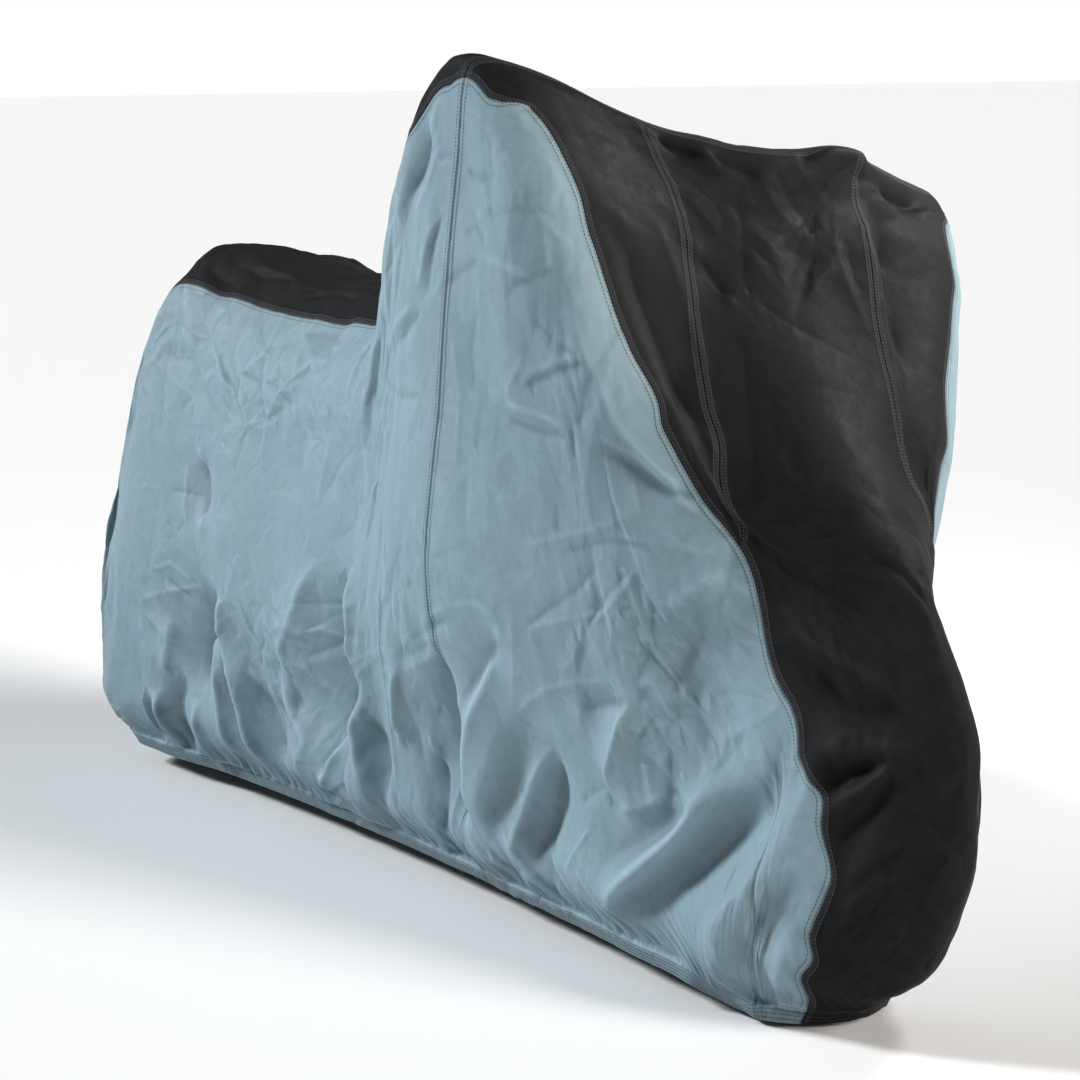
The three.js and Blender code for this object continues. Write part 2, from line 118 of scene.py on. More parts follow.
def tangents(knots, points):
    """Tangents along axis 0 of points, none much longer than the shorter slope beside it."""
    shape = (-1,) + (1,) * (points.ndim - 1)
    step = np.diff(knots).reshape(shape)
    slope = np.diff(points, axis=0) / step
    made = np.empty_like(points)
    made[0] = slope[0]
    made[-1] = slope[-1]
    inner = (step[1:] * slope[:-1] + step[:-1] * slope[1:]) / (step[1:] + step[:-1])
    size = np.linalg.norm(slope, axis=-1, keepdims=True)
    limit = TANGENT_LIMIT * np.minimum(size[:-1], size[1:])
    length = np.linalg.norm(inner, axis=-1, keepdims=True)
    made[1:-1] = inner * np.minimum(1.0, limit / (length + 1e-12))
    return made


def curve(knots, points, slopes, x):
    """Places x along axis 0 of the curve through the points at the knots, with a slope at each."""
    i = np.clip(np.searchsorted(knots, x, side="right") - 1, 0, len(knots) - 2)
    h = knots[i + 1] - knots[i]
    u = (x - knots[i]) / h
    shares = 2 * u**3 - 3 * u**2 + 1, h * (u**3 - 2 * u**2 + u), 3 * u**2 - 2 * u**3, h * (u**3 - u**2)
    a, b, c, d = (share.reshape((-1,) + (1,) * (points.ndim - 1)) for share in shares)
    return a * points[i] + b * slopes[i] + c * points[i + 1] + d * slopes[i + 1]


HOOPS = hoops()
SECTION_KNOTS = np.concatenate([
    [0.0], np.cumsum(np.linalg.norm(np.diff(HOOPS, axis=0), axis=2).mean(axis=1))])
LENGTH = SECTION_KNOTS[-1]
HOOP_TANGENTS = tangents(SECTION_KNOTS, HOOPS)


def along_at(count):
    """The distance along the cover of a place counted in sections."""
    return np.interp(count, np.arange(len(SECTION_KNOTS)), SECTION_KNOTS)


def stand(points):
    """Turns the bars about the raked steering head and leans the whole."""
    turned = (smooth(*STEER_HEIGHT, points[..., 2]) * smooth(*STEER_REACH, np.abs(points[..., 1]))
              * smooth(*STEER_REAR, points[..., 0]))
    axis = np.array([-math.sin(RAKE), 0.0, math.cos(RAKE)])
    angle = (STEER * turned)[..., None]
    arm = points - STEERING_HEAD
    on_axis = (arm @ axis)[..., None]
    placed = (STEERING_HEAD + arm * np.cos(angle) + np.cross(axis, arm) * np.sin(angle)
              + axis * on_axis * (1 - np.cos(angle)))
    lean = LEAN * smooth(0.0, LEAN_FULL_HEIGHT, placed[..., 2])
    y = placed[..., 1] * np.cos(lean) + placed[..., 2] * np.sin(lean)
    z = -placed[..., 1] * np.sin(lean) + placed[..., 2] * np.cos(lean)
    return np.stack([placed[..., 0], y, z], -1)


ORIGIN = stand(SADDLE[None])[0]
FLOOR_Z = -ORIGIN[2]
FLOOR_REACH = 40.0


def surface(s, t):
    """The smooth cloth at rows s and columns t, in the frame."""
    hoop = np.swapaxes(curve(SECTION_KNOTS, HOOPS, HOOP_TANGENTS, s), 0, 1)
    points = curve(HOOP_KNOTS, hoop, tangents(HOOP_KNOTS, hoop), t)
    return stand(np.swapaxes(points, 0, 1)) - ORIGIN


# The camera stands at the machine's right front, as the photograph was taken
CAMERA_PLACE = Vector((4.216, -2.4957, 0.4400))
CAMERA_YAW = math.radians(147.75)
CAMERA_PITCH = math.radians(9.97)
CAMERA_LOOK = np.array([
    math.cos(CAMERA_YAW) * math.cos(CAMERA_PITCH), math.sin(CAMERA_YAW) * math.cos(CAMERA_PITCH),
    -math.sin(CAMERA_PITCH)])
CAMERA_LENS = 100
SENSOR = 36
camera_data = bpy.data.cameras.new("camera")
camera_data.lens = CAMERA_LENS
camera_data.sensor_width = SENSOR
camera = bpy.data.objects.new("camera", camera_data)
bpy.context.scene.collection.objects.link(camera)
camera.location = CAMERA_PLACE
camera.rotation_mode = "QUATERNION"
camera.rotation_quaternion = Vector(CAMERA_LOOK).to_track_quat("-Z", "Y")
bpy.context.scene.camera = camera

# The whole cloth is one grid of rows along the cover and columns across it. Its columns are spaced by
# the mean length of the hoops, so that the cells are much alike in size.
GRID_ROWS = 560
GRID_COLUMNS = 440
PROBES = 40


def even_columns(count):
    t = np.linspace(-1, 1, 401)
    places = surface(np.linspace(LENGTH * 0.25, LENGTH * 0.75, PROBES), t)
    run = np.concatenate([[0], np.cumsum(np.linalg.norm(np.diff(places, axis=1), axis=2).mean(axis=0))])
    return np.interp(np.linspace(0, run[-1], count), run, t)


GRID_S = np.linspace(0, LENGTH, GRID_ROWS)
GRID_T = even_columns(GRID_COLUMNS)

BASE = surface(GRID_S, GRID_T)


def grid_normals(grid):
    """The direction out of the cover at each point of a grid."""
    along = np.gradient(grid, axis=0)
    across = np.gradient(grid, axis=1)
    return unit(np.cross(along, across))


NORMALS = grid_normals(BASE)

# The folds that the cloth has fallen into. Each row has the height of a crest in millimetres, below 0
# for a hollow, then its route as x, y, x, y... over the picture that the camera sees, 1080 wide.
FOLDS = [
    # rear of the side
    (-9, 199, 450, 199, 490, 199, 526), (4, 184, 458, 181, 500, 183, 526), (-3, 166, 488, 198, 494),
    (-3, 165, 541, 183, 521), (-3, 164, 519, 176, 533), (5, 148, 571, 170, 562, 192, 583),
    (6, 138, 601, 168, 590, 201, 585), (-4, 166, 577, 190, 599), (7, 174, 610, 172, 645, 165, 680),
    (-18, 211, 578, 210, 620, 208, 660, 206, 692), (8, 226, 590, 228, 625, 222, 645),
    (10, 202, 690, 209, 716, 217, 746, 226, 776), (-10, 186, 668, 181, 700, 186, 728, 195, 756),
    (8, 212, 640, 218, 665, 226, 693, 237, 728, 251, 766), (-7, 227, 662, 239, 693, 252, 724, 263, 756),
    (10, 218, 634, 232, 665, 242, 690, 254, 718, 266, 745, 277, 776),
    (-10, 249, 676, 265, 704, 280, 735, 294, 768), (-6, 269, 634, 262, 650, 262, 669),
    (7, 281, 664, 290, 690, 303, 718, 317, 741, 311, 762, 306, 791), (-7, 270, 688, 285, 718, 296, 756),
    (-23, 341, 556, 341, 600, 341, 660, 341, 700, 342, 738, 339, 766),
    (9, 335, 550, 318, 562, 308, 590, 300, 620, 289, 646, 296, 680, 304, 705),
    (7, 353, 560, 357, 620, 353, 676), (-4, 298, 600, 338, 603), (-3, 336, 607, 310, 630),
    (-4, 337, 641, 306, 657), (4, 300, 632, 320, 628, 337, 640), (-3, 346, 632, 375, 635),
    (4, 383, 648, 352, 682), (4, 384, 646, 346, 667), (9, 357, 693, 360, 720, 370, 760, 388, 797),
    (-7, 366, 712, 380, 750, 398, 801), (5, 375, 720, 385, 760, 397, 800),
    (8, 344, 738, 341, 765, 335, 792), (-6, 350, 733, 355, 768, 361, 797),
    (6, 150, 678, 148, 700, 158, 735), (7, 163, 688, 168, 710, 177, 742),
    (-8, 155, 690, 157, 715, 166, 746), (-3, 246, 420, 240, 445, 231, 476),
    (3, 253, 470, 262, 440, 268, 400), (-3, 356, 442, 342, 460, 324, 496),
    (3, 330, 440, 322, 480, 318, 510), (-3, 233, 340, 226, 372, 228, 410),
    (-3, 170, 330, 163, 380, 160, 440), (3, 300, 350, 292, 390, 296, 430),
    # low part of the front
    (-15, 424, 636, 436, 680, 448, 715, 456, 760, 465, 810, 470, 838), (7, 402, 648, 404, 700, 411, 748),
    (6, 378, 560, 385, 650, 393, 700, 397, 760, 405, 801), (6, 379, 740, 390, 770, 402, 800, 415, 831),
    (-9, 429, 742, 436, 775, 441, 805, 443, 849), (5, 448, 742, 452, 800, 456, 846),
    (3, 421, 618, 445, 606, 460, 603, 475, 604, 498, 621), (-4, 404, 641, 425, 630, 447, 618),
    (-3, 403, 656, 431, 640), (3, 405, 668, 430, 655), (-7, 497, 630, 485, 655, 472, 680, 457, 706),
    (8, 486, 670, 479, 705, 477, 750, 478, 800, 481, 836), (3, 510, 598, 511, 720),
    (5, 612, 682, 575, 681, 545, 688, 524, 702, 510, 722), (-7, 628, 701, 600, 705, 575, 712),
    (8, 553, 738, 540, 765, 527, 795, 519, 835, 515, 866),
    (-12, 559, 752, 551, 785, 544, 815, 537, 850, 538, 881),
    (13, 631, 694, 625, 715, 618, 740, 611, 765, 606, 803),
    (14, 606, 804, 620, 808, 640, 806, 660, 799, 679, 789), (-4, 606, 784, 590, 792, 577, 804),
    (6, 590, 825, 574, 850, 566, 876), (-4, 678, 790, 690, 821),
    (11, 737, 563, 720, 575, 690, 591, 670, 606, 654, 618), (-9, 704, 636, 683, 664, 668, 702),
    (-6, 655, 600, 650, 630, 657, 656), (3, 655, 615, 600, 612, 560, 620, 524, 628),
    (-6, 603, 556, 575, 590, 545, 610, 519, 631), (5, 640, 562, 615, 600, 590, 623),
    (-4, 628, 570, 604, 598, 582, 631), (5, 580, 615, 578, 640, 570, 660, 554, 673),
    (-3, 630, 685, 650, 700, 670, 720, 681, 731), (4, 516, 547, 560, 536, 600, 526, 642, 507),
    (-4, 560, 552, 610, 541, 650, 548), (3, 600, 533, 650, 540, 700, 550, 738, 556),
    (-3, 700, 700, 735, 690, 770, 700), (3, 715, 735, 750, 725, 782, 700),
    # the front's upper part, below the peak
    (9, 551, 243, 562, 291, 585, 352, 616, 425, 662, 479, 729, 542), (-4, 444, 286, 465, 268, 482, 258),
    (4, 482, 258, 500, 262, 531, 277), (-4, 502, 301, 515, 285, 532, 278, 561, 268),
    (-4, 488, 128, 490, 165, 486, 206), (4, 505, 148, 515, 180, 522, 201), (-3, 520, 202, 546, 188),
    (3, 537, 211, 555, 232, 576, 246), (-3, 477, 215, 520, 210, 549, 213),
    (-3, 461, 236, 475, 228, 486, 246), (-4, 462, 172, 480, 180, 500, 172),
    (6, 504, 402, 540, 414, 571, 427), (-6, 506, 418, 540, 432, 570, 437), (-4, 571, 425, 575, 462),
    (-5, 596, 398, 574, 426), (-7, 585, 446, 620, 460, 650, 478, 691, 501),
    (6, 590, 432, 640, 458, 690, 492), (-3, 529, 314, 560, 345, 586, 361),
    (-5, 524, 386, 560, 370, 593, 362), (4, 519, 378, 560, 361, 590, 354),
    (4, 504, 396, 518, 368, 526, 348), (3, 450, 328, 460, 400, 452, 481),
    (-3, 478, 300, 470, 350, 474, 400), (-9, 397, 206, 413, 165, 430, 124),
    (6, 404, 216, 424, 186, 440, 140), (-6, 424, 302, 430, 245, 441, 210),
    (6, 416, 292, 424, 250, 436, 216), (-4, 394, 347, 421, 309), (5, 384, 352, 398, 322, 416, 300),
    (-5, 379, 374, 395, 395, 424, 396),
    # black front
    (-10, 704, 149, 740, 165, 771, 179), (6, 763, 182, 779, 214, 806, 237, 826, 235),
    (-6, 737, 186, 742, 230, 748, 285, 761, 311), (-5, 748, 290, 790, 322, 857, 363),
    (-5, 794, 332, 803, 285, 816, 253), (4, 808, 300, 826, 270, 838, 240),
    (-5, 839, 238, 847, 280, 861, 302), (4, 829, 234, 843, 290, 869, 352),
    (-5, 774, 164, 790, 200, 816, 241), (4, 789, 158, 812, 190, 826, 216),
    (-8, 699, 247, 715, 270, 734, 301), (6, 652, 206, 680, 270, 702, 335, 722, 391),
    (-14, 622, 214, 652, 300, 688, 388, 716, 451), (-4, 735, 318, 748, 360, 752, 420, 756, 521),
    (9, 856, 178, 862, 220, 874, 300, 892, 400, 905, 471),
    (-15, 652, 131, 668, 137, 683, 143, 698, 149, 714, 153),
    (9, 800, 161, 820, 163, 840, 166, 856, 170, 872, 176), (-7, 876, 190, 896, 192, 916, 199, 934, 212),
    (-11, 884, 198, 898, 300, 906, 381), (-4, 780, 470, 830, 462, 870, 450),
    (-3, 775, 380, 815, 384, 858, 396), (-8, 750, 551, 800, 582, 850, 602, 874, 622, 879, 646),
    (9, 783, 622, 830, 655, 870, 680, 906, 701), (-9, 800, 655, 847, 705, 897, 716, 923, 729),
    (10, 800, 735, 850, 757, 890, 752, 931, 744), (-11, 815, 790, 850, 772, 886, 762),
    (9, 824, 806, 860, 790, 893, 768, 922, 773), (-8, 825, 851, 860, 820, 891, 789),
    (6, 848, 881, 880, 852, 906, 838), (-6, 838, 906, 875, 870, 909, 846),
    (7, 838, 917, 865, 890, 891, 869), (-6, 829, 941, 870, 915, 896, 879),
    (6, 848, 961, 880, 930, 901, 909), (-5, 846, 985, 886, 958, 915, 925),
    # black strip over the saddle and the peak
    (-5, 230, 262, 262, 276, 300, 281), (4, 275, 262, 310, 278, 342, 290),
    (-5, 300, 300, 330, 296, 362, 300), (-4, 205, 268, 222, 280, 240, 284),
    (-5, 470, 62, 500, 80, 530, 92), (5, 500, 66, 540, 84, 580, 100), (-5, 560, 96, 590, 150, 600, 180),
]
# Swells and hollows without a sharp line, in the same form
SWELLS = [
    (5, 512, 716, 503, 745, 494, 785, 484, 822), (-8, 560, 724, 530, 748, 514, 779, 503, 811, 494, 843),
    (-15, 588, 881, 610, 858, 640, 845, 668, 830, 691, 812),
    (16, 765, 765, 745, 777, 723, 791, 700, 812, 680, 832, 655, 858, 630, 882, 604, 912),
    (-18, 826, 762, 800, 778, 772, 799, 735, 825, 700, 855, 665, 885, 630, 905, 603, 925),
    (9, 820, 858, 790, 868, 760, 885, 735, 905, 705, 936), (-8, 815, 882, 785, 905, 755, 936, 730, 966),
    (8, 812, 930, 790, 960, 772, 990),
]
# Large folds spread far between their lines and fade slowly at their ends; small creases stay small
LARGE = 7
FOLD_KINDS = {
    "swell": {"scale": 1.6, "reach": 0.11, "taper": (0.45, 0.22), "blur": 0.0125},
    "large": {"scale": 1.5, "reach": 0.090, "taper": (0.34, 0.30), "blur": 0.0036},
    "small": {"scale": 0.36, "reach": 0.013, "taper": (0.2, 0.2), "blur": 0.0016},
}
FOLD_HOLD = 14.0
FOLD_ROUNDS = 50
COARSER_GRIDS = 4
SLANT_FACING = 0.80
SLANT_FACTOR = (0.8, 2.5)
DEEPEST = 28.0
FAR_FROM = 0.4
FAR_BACK = 0.07
FAR_SHARE = 0.8
PICTURE = 1080
ROUTE_STEP = 2.0
NEAR = 4.0
NEAR_EASE = 0.3
SAME_DEPTH = 0.06

# Heights are kept on a grid twice as fine as the cloth's
FINE_ROWS = 2 * GRID_ROWS - 1
FINE_COLUMNS = 2 * GRID_COLUMNS - 1
FINE_GRID = (FINE_ROWS, FINE_COLUMNS)
FINE_STEP = LENGTH / (FINE_ROWS - 1)


def picture_places():
    """Finds the cloth behind a point of the camera's picture, as (row, column) of the grid."""
    right = unit(np.cross(CAMERA_LOOK, [0, 0, 1.0]))
    up = np.cross(right, CAMERA_LOOK)
    ray = BASE - np.array(CAMERA_PLACE)
    depth = ray @ CAMERA_LOOK
    scale = PICTURE * CAMERA_LENS / SENSOR
    x = PICTURE / 2 + scale * (ray @ right) / depth
    y = PICTURE / 2 - scale * (ray @ up) / depth
    facing = -(NORMALS * unit(ray)).sum(-1)
    rows, columns = np.nonzero(facing > 0)
    tree = KDTree(len(rows))
    for k, (i, j) in enumerate(zip(rows.tolist(), columns.tolist())):
        tree.insert((x[i, j], y[i, j], 0), k)
    tree.balance()

    def at(px, py):
        found = tree.find_range((px, py, 0), NEAR) or [tree.find((px, py, 0))]
        places = np.array([k for _, k, _ in found])
        gaps = np.array([gap for _, _, gap in found])
        depths = depth[rows[places], columns[places]]
        front = depths < depths.min() + SAME_DEPTH
        weight = 1 / (gaps[front] ** 2 + NEAR_EASE)
        weight /= weight.sum()
        i, j = rows[places][front] @ weight, columns[places][front] @ weight
        return i, j, facing[int(round(i)), int(round(j))]

    return at


def fold_routes():
    """Each fold as (kind, height, places on the fine grid), those of the far side too."""
    at = picture_places()
    kinds = ["swell"] * len(SWELLS) + ["large" if abs(fold[0]) >= LARGE else "small" for fold in FOLDS]
    for kind, (height, *route) in zip(kinds, SWELLS + FOLDS):
        route = np.array(route, float).reshape(-1, 2)
        run = run_along(route)
        turn = np.arange(0, run[-1], ROUTE_STEP)
        x, y = np.interp(turn, run, route[:, 0]), np.interp(turn, run, route[:, 1])
        places = np.array([at(px, py) for px, py in zip(x, y)])
        # A fold that the picture shows at a slant stands higher than it looks
        far_height = FAR_SHARE * height
        height *= np.clip(SLANT_FACING / np.median(places[:, 2]), *SLANT_FACTOR)
        places = places[:, :2]
        yield kind, np.clip(height, -DEEPEST, DEEPEST), 2 * places
        t = np.interp(places[:, 1], np.arange(GRID_COLUMNS), GRID_T)
        if t.max() < -FAR_FROM:
            column = np.interp(-t, GRID_T, np.arange(GRID_COLUMNS))
            row = places[:, 0] - FAR_BACK * (GRID_ROWS - 1) / LENGTH
            yield kind, far_height, 2 * np.stack([row, column], 1)


KERNEL_REACH = 2.5


def blurred(field, width):
    """A field of the fine grid, blurred over a width in metres."""
    spread = width / FINE_STEP
    reach = max(1, int(math.ceil(KERNEL_REACH * spread)))
    kernel = np.exp(-0.5 * (np.arange(-reach, reach + 1) / spread) ** 2)
    kernel /= kernel.sum()
    for axis in (0, 1):
        pad = [(0, 0), (0, 0)]
        pad[axis] = (reach, reach)
        padded = np.pad(field, pad, mode="edge")
        size = field.shape[axis]
        field = sum(share * np.take(padded, np.arange(k, k + size), axis=axis)
                    for k, share in enumerate(kernel))
    return field


def halves(field):
    """The sums of a field over blocks of two by two."""
    rows, columns = field.shape
    padded = np.pad(field, ((0, rows % 2), (0, columns % 2)))
    return padded[::2, ::2] + padded[1::2, ::2] + padded[::2, 1::2] + padded[1::2, 1::2]


def around(field):
    """The sum of each point's four neighbours."""
    padded = np.pad(field, [(1, 1), (1, 1)] + [(0, 0)] * (field.ndim - 2), mode="edge")
    return padded[2:, 1:-1] + padded[:-2, 1:-1] + padded[1:-1, 2:] + padded[1:-1, :-2]


def fine_cell(row, column):
    """The fine grid's cell that each place lies in, and how far along and across it."""
    row = np.clip(row, 0, FINE_ROWS - 1.001)
    column = np.clip(column, 0, FINE_COLUMNS - 1.001)
    i, j = row.astype(int), column.astype(int)
    return i, j, row - i, column - j


def fold_heights(routes, scale, reach, taper, blur):
    """The cloth between the folds' lines, as a skin that the lines hold up and down."""
    held = np.zeros(FINE_GRID)
    value = np.zeros_like(held)
    for height, places in routes:
        share = np.linspace(0, 1, len(places))
        level = scale * height / 1000 * smooth(0, taper[0], share) * smooth(0, taper[1], 1 - share)
        i, j, u, v = fine_cell(*places.T)
        parts = (0, 0, (1 - u) * (1 - v)), (1, 0, u * (1 - v)), (0, 1, (1 - u) * v), (1, 1, u * v)
        for di, dj, part in parts:
            np.add.at(held, (i + di, j + dj), part)
            np.add.at(value, (i + di, j + dj), part * level)
    levels = [(held, value)]
    for _ in range(COARSER_GRIDS):
        levels.append([halves(field) for field in levels[-1]])
    skin = np.zeros_like(levels[-1][0])
    for depth, (weight, total) in reversed(list(enumerate(levels))):
        skin = finer(skin[..., None], *weight.shape)[..., 0]
        step = FINE_STEP * 2**depth
        mean = total / (weight + 1e-9)
        hold = FOLD_HOLD * np.minimum(weight, 1.0)
        slack = 4 + (step / reach) ** 2 + hold
        for _ in range(FOLD_ROUNDS):
            skin = (around(skin) + hold * mean) / slack
    return blurred(skin, blur)


def blended(field, i, j, u, v):
    low = field[i][:, j] * (1 - u) + field[i + 1][:, j] * u
    high = field[i][:, j + 1] * (1 - u) + field[i + 1][:, j + 1] * u
    return low * (1 - v) + high * v


def finer(field, rows, columns):
    """A coarse grid's values at a finer grid's points."""
    a = np.linspace(0, field.shape[0] - 1, rows)
    b = np.linspace(0, field.shape[1] - 1, columns)
    i, j = np.minimum(a.astype(int), field.shape[0] - 2), np.minimum(b.astype(int), field.shape[1] - 2)
    return blended(field, i, j, (a - i)[:, None, None], (b - j)[None, :, None])


def patches(rng, rows, columns, cells):
    """Smooth random values between -1 and 1 over a grid, with about so many cells along it."""
    across = max(3, cells * columns // rows)
    knots = rng.uniform(-1, 1, (cells + 3, across + 3))
    a = np.linspace(0, cells, rows)
    b = np.linspace(0, across, columns)
    i, j = np.minimum(a.astype(int), cells - 1), np.minimum(b.astype(int), across - 1)
    return blended(knots, i, j, smooth(0, 1, a - i)[:, None], smooth(0, 1, b - j)[None])


def facets(seed, spacing, height, stretch, blur):
    """Flat facets between random corners, as in cloth that was folded small and opened again."""
    rng = np.random.default_rng(seed)
    wide = spacing / FINE_STEP / stretch
    tall = spacing / FINE_STEP * stretch
    rows, columns = int(FINE_ROWS / wide) + 3, int(FINE_COLUMNS / tall) + 3
    i, j = np.meshgrid(np.arange(rows), np.arange(columns), indexing="ij")
    along = (i - 1 + rng.uniform(0, 1, i.shape)) * wide
    across = (j - 1 + rng.uniform(0, 1, i.shape)) * tall
    corners = np.stack([along, across], -1).reshape(-1, 2)
    levels = rng.normal(0, height, len(corners))
    made = delaunay_2d_cdt([Vector(corner) for corner in corners], [], [], 0, 1e-6)
    places = np.array([tuple(place) for place in made[0]])
    levels = levels[[ids[0] for ids in made[3]]]
    field = np.zeros(FINE_GRID)
    for face in made[2]:
        p, q, r = places[list(face)]
        low = np.maximum(np.floor(np.minimum(np.minimum(p, q), r)).astype(int), 0)
        high = np.ceil(np.maximum(np.maximum(p, q), r)).astype(int) + 1
        area = (q[0] - p[0]) * (r[1] - p[1]) - (q[1] - p[1]) * (r[0] - p[0])
        x = np.arange(low[0], min(high[0], FINE_ROWS))[:, None]
        y = np.arange(low[1], min(high[1], FINE_COLUMNS))[None]
        if abs(area) < 1e-6 or x.size == 0 or y.size == 0:
            continue
        b = ((x - p[0]) * (r[1] - p[1]) - (y - p[1]) * (r[0] - p[0])) / area
        c = ((q[0] - p[0]) * (y - p[1]) - (q[1] - p[1]) * (x - p[0])) / area
        inside = (b >= -1e-9) & (c >= -1e-9) & (b + c <= 1 + 1e-9)
        level = levels[list(face)]
        block = field[low[0]:low[0] + x.size, low[1]:low[1] + y.size]
        block[inside] = (level[0] * (1 - b - c) + level[1] * b + level[2] * c)[inside]
    return blurred(field, blur)


def squeeze(grid):
    """How closely the grid's rows lie at each point, from 0 where they meet to 1 where they are even."""
    gap = np.linalg.norm(np.gradient(grid, axis=0), axis=-1)
    return smooth(0.3, 1.05, gap / (LENGTH / (len(grid) - 1)))


def runs(grid):
    """How far each point is along the cover and across it, and its distances from the hems."""
    along, across = run_along(grid, 0), run_along(grid, 1)
    return along, across, np.minimum(across, across[:, -1:] - across), np.minimum(along, along[-1:] - along)


FINE_BASE = finer(BASE, *FINE_GRID)
FINE_ALONG, FINE_ACROSS, FINE_SIDE, FINE_END = runs(FINE_BASE)
FINE_GAP = np.minimum(FINE_SIDE, FINE_END)

# The gathers that the elastic draws up along the hem: wave length, height and reach, in metres
GATHERS = [(0.014, 0.0046, 0.014), (0.026, 0.0090, 0.024), (0.050, 0.0055, 0.045), (0.110, 0.0045, 0.10)]
GATHER_LEAST = 0.12
GATHER_SLANT = 0.55
GATHER_BLUR = 0.0022
CASING = 0.022


def gather_heights():
    rng = np.random.default_rng(31)
    total = 0
    for length, height, reach in GATHERS:
        for run, gap in ((FINE_ALONG, FINE_SIDE), (FINE_ACROSS, FINE_END)):
            count = int(run.max() / length * 2) + 40
            knots = np.cumsum(rng.uniform(0.5, 1.5, count)) * length / 2 - 8 * length
            level = rng.uniform(0.35, 1, count) * np.where(np.arange(count) % 2, 1, -0.75)
            slant = GATHER_SLANT * patches(rng, *FINE_GRID, 7) * gap
            uneven = patches(rng, *FINE_GRID, int(1.2 / length) // 2 + 5)
            strength = GATHER_LEAST + (1 - GATHER_LEAST) * smooth(-0.15, 0.6, uneven)
            fade = np.exp(-np.maximum(gap - CASING, 0) / reach)
            total = total + height * strength * fade * np.interp(run + slant, knots, level)
    return blurred(total, GATHER_BLUR)


HEM_OUT = 0.014
HEM_OUT_AT = 0.095
HEM_OUT_REACH = 0.05
HEM_IN = 0.005
HEM_IN_REACH = 0.075


def hem_bulge():
    """Out above the hem and in at it, where the elastic draws the cloth together."""
    out = HEM_OUT * np.exp(-(((FINE_GAP - HEM_OUT_AT) / HEM_OUT_REACH) ** 2))
    return out - HEM_IN * (1 - smooth(CASING, HEM_IN_REACH, FINE_GAP))


CRUMPLE_PATCHES = 12
LEAST_ROUGH = 0.3
BROAD_FACETS = {"seed": 11, "spacing": 0.060, "height": 0.0030, "stretch": 1.3, "blur": 0.002}
FINE_FACETS = {"seed": 12, "spacing": 0.023, "height": 0.0011, "stretch": 1.15, "blur": 0.0016}
CASING_LEAST = 0.05

ROUTES = list(fold_routes())
HEIGHTS = gather_heights()
for kind, settings in FOLD_KINDS.items():
    HEIGHTS += fold_heights([route[1:] for route in ROUTES if route[0] == kind], **settings)
ROUGH = smooth(-0.5, 0.6, patches(np.random.default_rng(5), *FINE_GRID, CRUMPLE_PATCHES))
ROUGH = (LEAST_ROUGH + (1 - LEAST_ROUGH) * ROUGH) * squeeze(FINE_BASE)
HEIGHTS += ROUGH * facets(**BROAD_FACETS)
# The elastic keeps its casing smooth, so folds and gathers begin just above it
HEIGHTS *= CASING_LEAST + (1 - CASING_LEAST) * smooth(0.9 * CASING, 1.35 * CASING, FINE_GAP)
HEIGHTS += hem_bulge()
FINE_HEIGHTS = ROUGH * facets(**FINE_FACETS)

# Heights stand out of the cloth along its direction outwards, evened out over its tight bends. At the
# hem's corners the grid lies nearly flat, so there the direction is taken a little further in.
OUTWARD_BLUR = 0.016
ROWS_IN = 24
COLUMNS_IN = 8
OUTWARD = unit(np.stack([blurred(NORMALS[..., k], OUTWARD_BLUR) for k in range(3)], -1))
INNER_ROWS = np.clip(np.arange(GRID_ROWS), ROWS_IN, GRID_ROWS - 1 - ROWS_IN)
INNER_COLUMNS = np.clip(np.arange(GRID_COLUMNS), COLUMNS_IN, GRID_COLUMNS - 1 - COLUMNS_IN)
OUTWARD = OUTWARD[INNER_ROWS][:, INNER_COLUMNS]
FOLDED = BASE + OUTWARD * HEIGHTS[::2, ::2, None]

# The cloth is a little longer than the space that it lies in, so it crumples. It is let go at a coarse
# grid, then at finer ones, and is held near its place by an anchor and by a limit on how far it moves.
LEVELS = [(4, 200), (2, 120), (1, 40)]
SPARE = 0.007
SPARE_UNEVEN = 0.6
HEM_SPARE = 0.02
HEM_REACH = 0.05
MOVE_LIMIT = 0.018
ANCHOR = 0.0015
HEM_ANCHOR = 0.25
HEM_ANCHOR_REACH = 0.026
BENDING = 0.018
BUMP = 0.0001
HEM_SMOOTH_REACH = 0.03
_, _, SIDE_GAP, END_GAP = runs(BASE)


def pull(points, first, second, rest):
    gap = points[second] - points[first]
    length = np.sqrt((gap * gap).sum(-1))
    move = gap * (0.5 - 0.5 * rest / (length + 1e-9))[..., None]
    points[first] += move
    points[second] -= move


def pairs(rows, columns):
    """The threads of the cloth in eight sets, none of which uses a point twice."""
    for start in (0, 1):
        last = start + (rows - start) // 2 * 2
        yield "s", np.s_[start:last:2, :], np.s_[start + 1:last:2, :]
        yield "d", np.s_[start:last:2, :-1], np.s_[start + 1:last:2, 1:]
        yield "d", np.s_[start:last:2, 1:], np.s_[start + 1:last:2, :-1]
        last = start + (columns - start) // 2 * 2
        yield "t", np.s_[:, start:last:2], np.s_[:, start + 1:last:2]


def bent(field):
    """How far each point lies below its four neighbours together."""
    return around(field) - 4 * field


